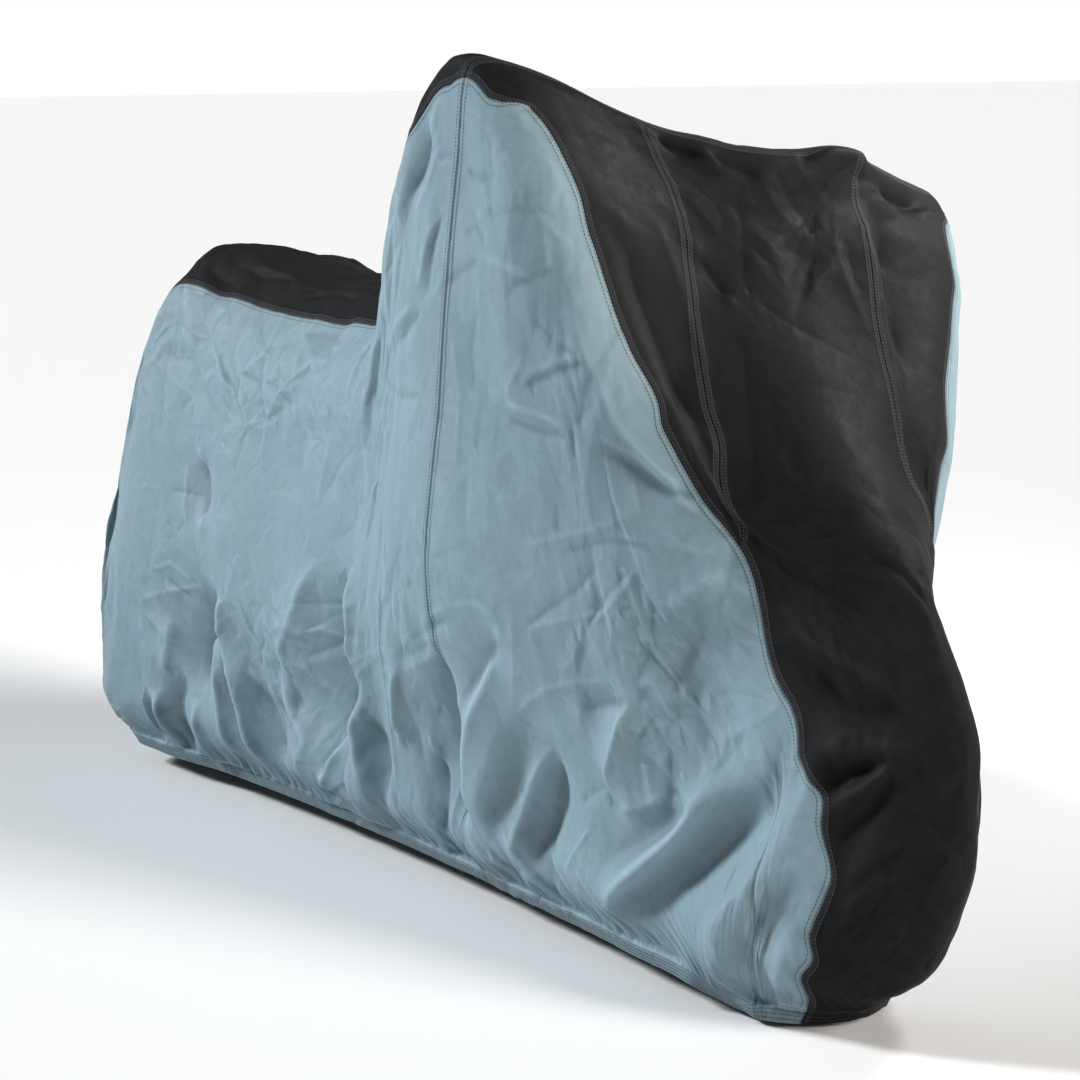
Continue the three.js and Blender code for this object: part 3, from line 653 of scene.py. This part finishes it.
def crumple(target, start, spare_s, spare_t, anchor, steps):
    """The net at one grid size, let go from its start."""
    threads = []
    for kind, first, second in pairs(*target.shape[:2]):
        rest = np.linalg.norm(target[second] - target[first], axis=-1)
        spare = {"s": spare_s, "t": spare_t, "d": (spare_s + spare_t) / 2}[kind]
        threads.append((first, second, rest * (1 + (spare[first] + spare[second]) / 2)))
    points = start.copy()
    for _ in range(steps):
        for first, second, rest in threads:
            pull(points, first, second, rest)
        shift = points - target
        shift -= BENDING * bent(bent(shift))
        shift *= (1 - anchor)[..., None]
        far = np.linalg.norm(shift, axis=-1, keepdims=True)
        shift *= MOVE_LIMIT * np.tanh(far / MOVE_LIMIT) / (far + 1e-9)
        points = target + shift
    return points


def crumpled(folded):
    """The folded cloth after the net has crumpled at each grid size in turn."""
    rng = np.random.default_rng(7)
    shift = None
    unevenness = patches(rng, GRID_ROWS, GRID_COLUMNS, 9)
    even = squeeze(BASE)
    spare = SPARE * (1 + SPARE_UNEVEN * unevenness) * even
    spare_s = spare + HEM_SPARE * np.exp(-SIDE_GAP / HEM_REACH) * even
    spare_t = spare + HEM_SPARE * np.exp(-END_GAP / HEM_REACH) * even
    anchor = ANCHOR + HEM_ANCHOR * np.exp(-((np.minimum(SIDE_GAP, END_GAP) / HEM_ANCHOR_REACH) ** 4))
    for stride, steps in LEVELS:
        rows, columns = (GRID_ROWS - 1) // stride + 1, (GRID_COLUMNS - 1) // stride + 1
        pick_s = np.linspace(0, GRID_ROWS - 1, rows).round().astype(int)
        pick_t = np.linspace(0, GRID_COLUMNS - 1, columns).round().astype(int)
        take = np.ix_(pick_s, pick_t)
        target = folded[take]
        shift = np.zeros_like(target) if shift is None else finer(shift, rows, columns)
        bumps = sum(patches(rng, rows, columns, rows // n) * BUMP * stride * n for n in (4, 8, 16))
        shift = shift + NORMALS[take] * bumps[..., None]
        shift = crumple(target, target + shift, spare_s[take], spare_t[take], anchor[take], steps) - target
    return folded + shift


CLOTH = crumpled(FOLDED)
# Near the hem the cloth's own direction outwards is too uneven for the casing and its stitches
HEM_NEARNESS = np.exp(-np.minimum(SIDE_GAP, END_GAP) / HEM_SMOOTH_REACH)[..., None]
CLOTH_NORMALS = unit(grid_normals(CLOTH) * (1 - HEM_NEARNESS) + OUTWARD * HEM_NEARNESS)


def grid_place(s, t):
    return np.interp(s, GRID_S, np.arange(GRID_ROWS)), np.interp(t, GRID_T, np.arange(GRID_COLUMNS))


def sample(field, s, t):
    """A field of the grid at arrays of s and t, by cubic interpolation."""
    row, column = grid_place(s, t)
    i = np.clip(row.astype(int), 0, GRID_ROWS - 2)
    j = np.clip(column.astype(int), 0, GRID_COLUMNS - 2)
    total = 0

    def weights(u):
        return (
            (-u + 2 * u**2 - u**3) / 2, (2 - 5 * u**2 + 3 * u**3) / 2,
            (u + 4 * u**2 - 3 * u**3) / 2, (-(u**2) + u**3) / 2)

    for a, row_weight in zip((-1, 0, 1, 2), weights(row - i)):
        ia = np.clip(i + a, 0, GRID_ROWS - 1)
        for b, column_weight in zip((-1, 0, 1, 2), weights(column - j)):
            jb = np.clip(j + b, 0, GRID_COLUMNS - 1)
            total = total + field[ia, jb] * (row_weight * column_weight)[..., None]
    return total


# The seams between the panels, as section count, place across, section count, place across...
NEAR_EDGE = [
    0, -0.36, 1, -0.38, 2, -0.41, 3, -0.425, 4, -0.415, 5, -0.405, 6, -0.402, 7, -0.4, 8, -0.435,
    9, -0.465, 9.82, -0.465, 10.01, -0.455, 10.27, -0.435, 10.45, -0.43, 10.59, -0.405, 10.72, -0.355,
    10.9, -0.35, 11.25, -0.355, 11.56, -0.36, 11.96, -0.375, 12.44, -0.375, 12.83, -0.37, 13.26, -0.36,
    13.47, -0.375, 13.98, -0.375, 14.49, -0.365, 15, -0.39, 15.72, -0.445, 16.18, -0.445, 16.41, -0.4,
    16.53, -0.35, 16.69, -0.325, 16.89, -0.26, 17.23, -0.265, 17.37, -0.235, 17.55, -0.25, 17.77, -0.225,
    18, -0.255,
]
FAR_EDGE = [
    0, 0.36, 1, 0.38, 2, 0.41, 3, 0.425, 4, 0.415, 5, 0.405, 6, 0.405, 7, 0.4, 8, 0.435, 9, 0.465,
    9.8, 0.46, 10.2, 0.43, 10.68, 0.35, 11.08, 0.355, 11.43, 0.385, 12.05, 0.39, 12.7, 0.38, 13.21, 0.395,
    13.81, 0.37, 14.49, 0.365, 15, 0.39, 16, 0.44, 16.5, 0.36, 17, 0.262, 18, 0.25,
]
NEAR_GUSSET = [
    10.12, -0.2, 10.41, -0.195, 10.99, -0.185, 11.61, -0.18, 12.61, -0.19, 13.13, -0.19, 13.6, -0.175,
    14.15, -0.235, 14.5, -0.36,
]
FAR_GUSSET = [
    10.12, 0.155, 11.3, 0.18, 12.22, 0.17, 13.17, 0.165, 13.6, 0.16, 14.0, 0.2, 14.3, 0.3, 14.5, 0.357,
]
SIDE_SEAM = along_at(10.12)
GUSSET_TIP = along_at(14.5)


def edge_curve(places):
    """A seam's place across the cloth as a function of the distance along it, without corners."""
    knots = along_at(places[::2])
    values = np.array(places[1::2])[:, None]
    slopes = tangents(knots, values)
    return lambda s: curve(knots, values, slopes, np.clip(s, knots[0], knots[-1]))[:, 0]


def centre_line(edge, gusset):
    return lambda s: np.where(s > GUSSET_TIP, edge(s), gusset(s))


near_edge = edge_curve(NEAR_EDGE)
far_edge = edge_curve(FAR_EDGE)
near_centre = centre_line(near_edge, edge_curve(NEAR_GUSSET))
far_centre = centre_line(far_edge, edge_curve(FAR_GUSSET))


def hem_near(s):
    return np.full_like(s, -1.0)


def hem_far(s):
    return np.full_like(s, 1.0)


# Painted shade and light from the cloth's bend: crests are lighter, as rubbed wear, and hollows darker, as
# painted shade. Painted shade darkens the cloth towards the hem
WEAR_AND_SHADE_CURVE = 0.00045
WEAR_AND_SHADE_BLUR = 0.0014
# How far up from the hem the painted shade reaches
HEM_SHADE_REACH = 0.10
WEAR_AND_CREASE_SHADE = blurred(np.tanh(-bent(HEIGHTS + FINE_HEIGHTS) / WEAR_AND_SHADE_CURVE), WEAR_AND_SHADE_BLUR)

# An edge of a panel is a seam to its neighbour, or the hem, or a tip. The quads' lines beside an edge
# have their distances from it and their depths inside, for the hem is turned in.
STEPS = {
    "seam": [(gap, 0) for gap in (0, 0.0012, 0.0025, 0.0045, 0.0068, 0.0088, 0.0102)],
    "hem": [
        (0.019, 0.0045), (0.008, 0.0045), (0.0025, 0.0042), (0.0004, 0.0030), (0, 0.0012),
        *((gap, 0) for gap in (
            0.0008, 0.003, 0.005, 0.007, 0.0085, 0.010, 0.0115, 0.013, 0.015, 0.017, 0.019, 0.0205,
            0.022, 0.0235, 0.025))],
    "tip": [(0, 0)],
}
# Where the rows of stitches run beside an edge, and how high over the cloth
STITCHES = {"seam": (0.0022, 0.0085), "hem": (0.005, 0.010, 0.015, 0.0205), "tip": ()}
STITCH_LIFT = {"seam": 0.0005, "hem": 0.0011}
SEAM_WIDTH = 0.0102
SEAM_GROOVE = 0.0005
DOUBLED_HEIGHT = 0.0003
# Painted sheen: how much lighter the doubled strip beside a seam on the black cloth is painted
DOUBLED_SHINE = 3.0
CASING_HEIGHT = 0.0014
STITCH_GROOVE = 0.0004

# Each panel: its slot, the rows it runs over, the lines that bound it across the cover, its columns
PANELS = [
    ("side_rear_right", "silver_cloth", "rear", hem_near, near_edge, 236),
    ("side_front_right", "silver_cloth", "front", hem_near, near_edge, 282),
    ("side_rear_left", "silver_cloth", "rear", far_edge, hem_far, 120),
    ("side_front_left", "silver_cloth", "front", far_edge, hem_far, 120),
    ("top_strip", "black_cloth", "rear", near_edge, far_edge, 110),
    ("gusset_right", "black_cloth", "gusset", near_edge, near_centre, 60),
    ("gusset_left", "black_cloth", "gusset", far_centre, far_edge, 50),
    ("front_centre", "black_cloth", "front", near_centre, far_centre, 190),
]
END_KINDS = {"rear": ("hem", "seam"), "front": ("seam", "hem"), "gusset": ("seam", "tip")}
REAR_ROWS = 372
FRONT_ROWS = 318
NARROWEST = 0.03


def mesh_object(name, points, faces, uv=None):
    mesh = bpy.data.meshes.new(name)
    mesh.from_pydata(points.reshape(-1, 3).tolist(), [], faces)
    if uv is not None:
        layer = mesh.uv_layers.new(name="flat")
        index = np.empty(len(mesh.loops), int)
        mesh.loops.foreach_get("vertex_index", index)
        layer.data.foreach_set("uv", uv.reshape(-1, 2)[index].ravel())
    mesh.polygons.foreach_set("use_smooth", [True] * len(mesh.polygons))
    mesh.update()
    thing = bpy.data.objects.new(name, mesh)
    bpy.context.scene.collection.objects.link(thing)
    return thing


def grid_faces(rows, columns):
    start = (np.arange(rows - 1)[:, None] * columns + np.arange(columns - 1)[None]).ravel()
    return np.stack([start, start + columns, start + columns + 1, start + 1], 1).tolist()


def add_node(tree, kind, *values, **settings):
    """A node with values or other nodes' outputs in its inputs, in their order or by name."""
    node = tree.nodes.new("ShaderNode" + kind)
    inputs = list(zip(node.inputs, values))
    for key, value in settings.items():
        if hasattr(node, key):
            setattr(node, key, value)
        else:
            inputs.append((node.inputs[key.replace("_", " ")], value))
    for place, value in inputs:
        if isinstance(value, bpy.types.NodeSocket):
            tree.links.new(value, place)
        else:
            place.default_value = value
    return node


def new_material(name, specular):
    made = bpy.data.materials.new(name)
    made.use_nodes = True
    shader = made.node_tree.nodes["Principled BSDF"]
    shader.inputs["Specular IOR Level"].default_value = specular
    return made, shader


def cloth_material(name, dark, light, roughness, specular, crinkle):
    """Thin coated nylon: mottled colour, a fine weave, and small creases that only the light shows."""
    made, shader = new_material(name, specular)
    tree = made.node_tree
    place = tree.nodes.new("ShaderNodeTexCoord").outputs["Object"]

    def noise(scale, detail, rough):
        node = add_node(tree, "TexNoise", Vector=place, Scale=scale, Detail=detail, Roughness=rough)
        return node.outputs["Fac"]

    def maths(operation, *values):
        return add_node(tree, "Math", *values, operation=operation).outputs[0]

    small = noise(55.0, 4.0, 0.65)
    ramp = add_node(tree, "ValToRGB", maths("MULTIPLY_ADD", small, 0.45, noise(3.2, 3.0, 0.55)))
    for stop, position, colour in zip(ramp.color_ramp.elements, (0.50, 0.95), (dark, light)):
        stop.position = position
        stop.color = (*colour, 1)
    # The base colour carries painted shade and light: the first attribute lightens crests as rubbed wear,
    # darkens hollows as painted shade and lightens the black cloth's doubled seam strips as painted sheen;
    # the second is painted shade that darkens the cloth towards the hem
    wear_and_painted_shading = add_node(tree, "Attribute", attribute_name="wear_and_painted_shading").outputs["Fac"]
    painted_hem_shade = add_node(tree, "Attribute", attribute_name="painted_hem_shade").outputs["Fac"]
    shade = maths("MULTIPLY_ADD", painted_hem_shade, -0.27, maths("MULTIPLY", wear_and_painted_shading, 0.30))
    bright = maths("ADD", shade, 1.0)
    tint = add_node(tree, "VectorMath", ramp.outputs["Color"], operation="SCALE", Scale=bright)
    tree.links.new(tint.outputs[0], shader.inputs["Base Color"])

    gloss = add_node(
        tree, "MapRange", Value=small, From_Min=0.3, From_Max=0.7, To_Min=roughness - 0.06,
        To_Max=roughness + 0.06)
    tree.links.new(gloss.outputs["Result"], shader.inputs["Roughness"])

    cells = add_node(tree, "TexVoronoi", feature="DISTANCE_TO_EDGE", Vector=place, Scale=42.0)
    edges = add_node(tree, "MapRange", Value=cells.outputs["Distance"], From_Max=0.22)
    creases = add_node(tree, "Bump", Strength=crinkle, Distance=0.0006, Height=edges.outputs["Result"])
    rough = add_node(
        tree, "Bump", Strength=crinkle, Distance=0.0012, Height=noise(120.0, 3.0, 0.6),
        Normal=creases.outputs["Normal"])
    x, y, z = (
        add_node(tree, "TexWave", bands_direction=axis, Vector=place, Scale=260.0).outputs["Fac"]
        for axis in "XYZ")
    weave = maths("ADD", maths("ADD", x, y), z)
    threads = add_node(
        tree, "Bump", Strength=0.25, Distance=0.00006, Height=weave, Normal=rough.outputs["Normal"])
    tree.links.new(threads.outputs["Normal"], shader.inputs["Normal"])
    return made


def plain_material(name, colour, roughness):
    made, shader = new_material(name, 0.2)
    shader.inputs["Base Color"].default_value = (*colour, 1)
    shader.inputs["Roughness"].default_value = roughness
    return made


FINISHES = {
    "silver_cloth": cloth_material(
        "silver_cloth", (0.180, 0.263, 0.305), (0.209, 0.298, 0.340), 0.62, 0.18, 0.30),
    "black_cloth": cloth_material(
        "black_cloth", (0.0115, 0.0120, 0.0130), (0.0150, 0.0156, 0.0168), 0.55, 0.022, 0.22),
}
THREADS = {
    "silver_cloth": plain_material("silver_thread", (0.045, 0.062, 0.072), 0.6),
    "black_cloth": plain_material("black_thread", (0.05, 0.053, 0.057), 0.5),
}


def stepped(length, first, last, count):
    """Distances from the low edge and turned-in depths, dense at both edges and even between them."""
    first, last = STEPS[first], STEPS[last][::-1]
    inner = count - len(first) - len(last)
    middle = np.linspace(first[-1][0], length - last[0][0], inner + 2)[1:-1]
    near = [step[0] for step in first]
    far = [length - step[0] for step in last]
    turned = [step[1] for step in first] + [0] * inner + [step[1] for step in last]
    return np.concatenate([near, middle, far]), np.array(turned)


def mark(gap, place, reach):
    """A narrow bump at a place beside an edge."""
    return np.exp(-(((gap - place) / reach) ** 2))


def seam_height(gap):
    """The seam's groove and the doubled cloth beside it."""
    doubled = DOUBLED_HEIGHT * smooth(0.0007, 0.0022, gap) * (1 - smooth(0.0086, SEAM_WIDTH, gap))
    return doubled - SEAM_GROOVE * mark(gap, 0, 0.0010)


def hem_height(gap):
    """The casing's thickness and the grooves of its stitch rows."""
    height = CASING_HEIGHT * (1 - smooth(CASING, CASING + CASING_HEIGHT, gap))
    for row in STITCHES["hem"]:
        height = height - STITCH_GROOVE * mark(gap, row, 0.0011)
    return height


ROWS = {
    "rear": (0.0, SIDE_SEAM, REAR_ROWS),
    "front": (SIDE_SEAM, LENGTH, FRONT_ROWS),
    "gusset": (SIDE_SEAM, GUSSET_TIP, 0),
}


def row_places(part):
    """Where a panel's rows lie along the cover, and how deep they are turned in."""
    start, end, count = ROWS[part]
    if part == "gusset":
        s, turned = row_places("front")
        keep = s < end - 0.001
        return np.append(s[keep], end), np.append(turned[keep], 0)
    offsets, turned = stepped(end - start, *END_KINDS[part], count)
    return start + offsets, turned


def build_panel(name, slot, part, low, high, columns):
    kinds = (*END_KINDS[part], "hem" if low is hem_near else "seam", "hem" if high is hem_far else "seam")
    s, row_turned = row_places(part)
    rows = len(s)
    t_low, t_high = low(s), high(s)
    probe = np.linspace(0, 1, PROBES)
    probed = t_low[:, None] * (1 - probe) + t_high[:, None] * probe
    run = run_along(sample(CLOTH, np.repeat(s[:, None], PROBES, 1), probed), 1)
    t, turned, gap_low, gap_high = np.empty((4, rows, columns))
    for i in range(rows):
        width = max(run[i, -1], NARROWEST)
        offsets, column_turned = stepped(width, *kinds[2:], columns)
        share = np.interp(offsets / width * run[i, -1], run[i], probe)
        t[i] = t_low[i] * (1 - share) + t_high[i] * share
        turned[i] = np.maximum(column_turned, row_turned[i])
        gap_low[i] = offsets
        gap_high[i] = width - offsets
    s_all = np.repeat(s[:, None], columns, 1)
    start, end, _ = ROWS[part]
    height = sample_fine(FINE_HEIGHTS, s_all, t)
    worn_and_shaded = sample_fine(WEAR_AND_CREASE_SHADE, s_all, t)
    hem_gap = np.ones((rows, columns))
    for gap, kind in zip((s_all - start, end - s_all, gap_low, gap_high), kinds):
        if kind == "hem":
            height = height + hem_height(gap)
            hem_gap = np.minimum(hem_gap, gap)
            worn_and_shaded = worn_and_shaded - 0.9 * sum(mark(gap, place, 0.0013) for place in STITCHES["hem"])
        elif kind == "seam":
            height = height + seam_height(gap)
            worn_and_shaded = worn_and_shaded - 1.5 * mark(gap, 0, 0.0014)
            worn_and_shaded = worn_and_shaded - 0.5 * sum(mark(gap, place, 0.0012) for place in STITCHES["seam"])
            # Painted sheen: on the black cloth the doubled strip beside a seam is painted lighter
            if slot == "black_cloth":
                doubled = smooth(0.0006, 0.0016, gap) * (1 - smooth(SEAM_WIDTH - 0.001, SEAM_WIDTH, gap))
                worn_and_shaded = worn_and_shaded + DOUBLED_SHINE * doubled
    out = unit(sample(CLOTH_NORMALS, s_all, t))
    points = sample(CLOTH, s_all, t) + out * (height - turned)[..., None]
    flat_uv = np.stack([s_all, np.repeat(gap_low[:1], rows, 0)], -1) / LENGTH
    panel = mesh_object(name + "_cloth", points, grid_faces(rows, columns), flat_uv)
    # Painted shade and light, with rubbed wear on the crests, go to the material as point attributes
    for key, values in (("wear_and_painted_shading", worn_and_shaded), ("painted_hem_shade", np.exp(-hem_gap / HEM_SHADE_REACH))):
        panel.data.attributes.new(key, "FLOAT", "POINT").data.foreach_set("value", values.ravel())
    panel.data.materials.append(FINISHES[slot])
    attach(panel, "root")
    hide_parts(name)
    stitches = build_stitches(name, slot, low, high, kinds, s, run, (start, end))


STITCH_PITCH = 0.0052
STITCH_LENGTH = 0.0034
STITCH_WIDTH = 0.00055
STITCH_HEIGHT = 0.0004
STITCH_FACES = [(0, 2, 1), (0, 3, 2), (1, 2, 5, 4), (2, 3, 6, 5), (4, 5, 7), (5, 6, 7)]
# Stitches end this far from a panel's own ends
STITCH_END = 0.004
END_PLACES = 400


def stitch_row(s, t, lift):
    """Stitches along a line over the cloth, as their points in groups of eight."""
    normals = unit(sample(CLOTH_NORMALS, s, t))
    points = sample(CLOTH, s, t) + normals * (lift + sample_fine(FINE_HEIGHTS, s, t))[:, None]
    run = run_along(points)
    starts = np.arange(STITCH_PITCH / 2, run[-1] - STITCH_LENGTH, STITCH_PITCH)

    def at(distance, values):
        return np.stack([np.interp(distance, run, values[:, k]) for k in range(3)], 1)

    ends = at(starts, points), at(starts + STITCH_LENGTH, points)
    normal = unit(at(starts, normals))
    along = ends[1] - ends[0]
    side = unit(np.cross(normal, along)) * STITCH_WIDTH
    top = normal * STITCH_HEIGHT
    made = [ends[0] - top * 0.5]
    for share in (0.2, 0.8):
        middle = ends[0] + along * share
        made += [middle - side, middle + top, middle + side]
    made.append(ends[1] - top * 0.5)
    return np.stack(made, 1)


def build_stitches(name, slot, low, high, kinds, s, run, ends):
    """The rows of stitches beside a panel's edges. run holds the distances across it in each row s."""
    rows = []
    probe = np.linspace(0, 1, PROBES)
    inside = np.flatnonzero((s > ends[0] + STITCH_END) & (s < ends[1] - STITCH_END))
    inside = inside[np.argsort(s[inside])]
    for kind, from_high in ((kinds[2], False), (kinds[3], True)):
        for offset in STITCHES[kind]:
            pick = inside[run[inside, -1] > 3 * offset]
            share = np.array([
                np.interp(line[-1] - offset if from_high else offset, line, probe) for line in run[pick]])
            t = low(s[pick]) * (1 - share) + high(s[pick]) * share
            rows.append(stitch_row(s[pick], t, STITCH_LIFT[kind]))
    for kind, edge, way in ((kinds[0], ends[0], 1), (kinds[1], ends[1], -1)):
        for offset in STITCHES[kind]:
            place = np.full(END_PLACES, edge + way * offset)
            share = np.linspace(0.004, 0.996, END_PLACES)
            t = low(place) * (1 - share) + high(place) * share
            rows.append(stitch_row(place, t, STITCH_LIFT[kind]))
    points = np.concatenate(rows)
    faces = [tuple(8 * k + v for v in face) for k in range(len(points)) for face in STITCH_FACES]
    stitches = mesh_object(name + "_stitches", points, faces)
    stitches.data.materials.append(THREADS[slot])
    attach(stitches, "root")
    return stitches


def sample_fine(field, s, t):
    """A field of the fine grid at arrays of s and t."""
    row, column = grid_place(s, t)
    i, j, u, v = fine_cell(row * 2, column * 2)
    return (field[i, j] * (1 - u) * (1 - v) + field[i + 1, j] * u * (1 - v)
            + field[i, j + 1] * (1 - u) * v + field[i + 1, j + 1] * u * v)


for row in PANELS:
    build_panel(*row)

corners = np.array([[-1, -1, 0], [1, -1, 0], [1, 1, 0], [-1, 1, 0]]) * FLOOR_REACH + [0, 0, FLOOR_Z]
floor = mesh_object("floor", corners, [[0, 1, 2, 3]])
floor.data.materials.append(plain_material("floor", (0.80, 0.80, 0.80), 0.9))


def add_light(name, kind, place, toward, **settings):
    """A light at a place. It shines down the line on which toward points back at it."""
    data = bpy.data.lights.new(name, kind)
    for key, value in settings.items():
        setattr(data, key, value)
    light = bpy.data.objects.new(name, data)
    light.location = place
    light.rotation_mode = "QUATERNION"
    light.rotation_quaternion = Vector(toward).to_track_quat("Z", "Y")
    bpy.context.scene.collection.objects.link(light)


def make_world():
    """Dim overhead and pale at the horizon, as a studio's backdrop is."""
    world = bpy.data.worlds.new("world")
    world.use_nodes = True
    tree = world.node_tree
    background = tree.nodes["Background"]
    background.inputs["Color"].default_value = (1, 1, 1, 1)
    split = add_node(tree, "SeparateXYZ", tree.nodes.new("ShaderNodeTexCoord").outputs["Generated"])
    fade = add_node(tree, "MapRange", Value=split.outputs["Z"], From_Max=0.22, To_Min=1.0, To_Max=0.06)
    tree.links.new(fade.outputs["Result"], background.inputs["Strength"])
    bpy.context.scene.world = world


make_world()
add_light(
    "left", "SUN", (0, 0, 0), (-0.63, -0.55, 0.50), energy=4.0, angle=math.radians(12),
    color=(0.95, 1.0, 1.04))
add_light(
    "front", "SUN", (0, 0, 0), (0.80, 0.42, 0.45), energy=3.4, angle=math.radians(24),
    color=(1.0, 0.94, 0.88))
WINDOW = Vector((0.80, 1.65, 1.00))
add_light(
    "far_window", "AREA", WINDOW, WINDOW - Vector((0.45, 0.05, 0.05)), shape="SQUARE", size=0.6, energy=34)
bpy.context.scene.view_settings.view_transform = "Standard"
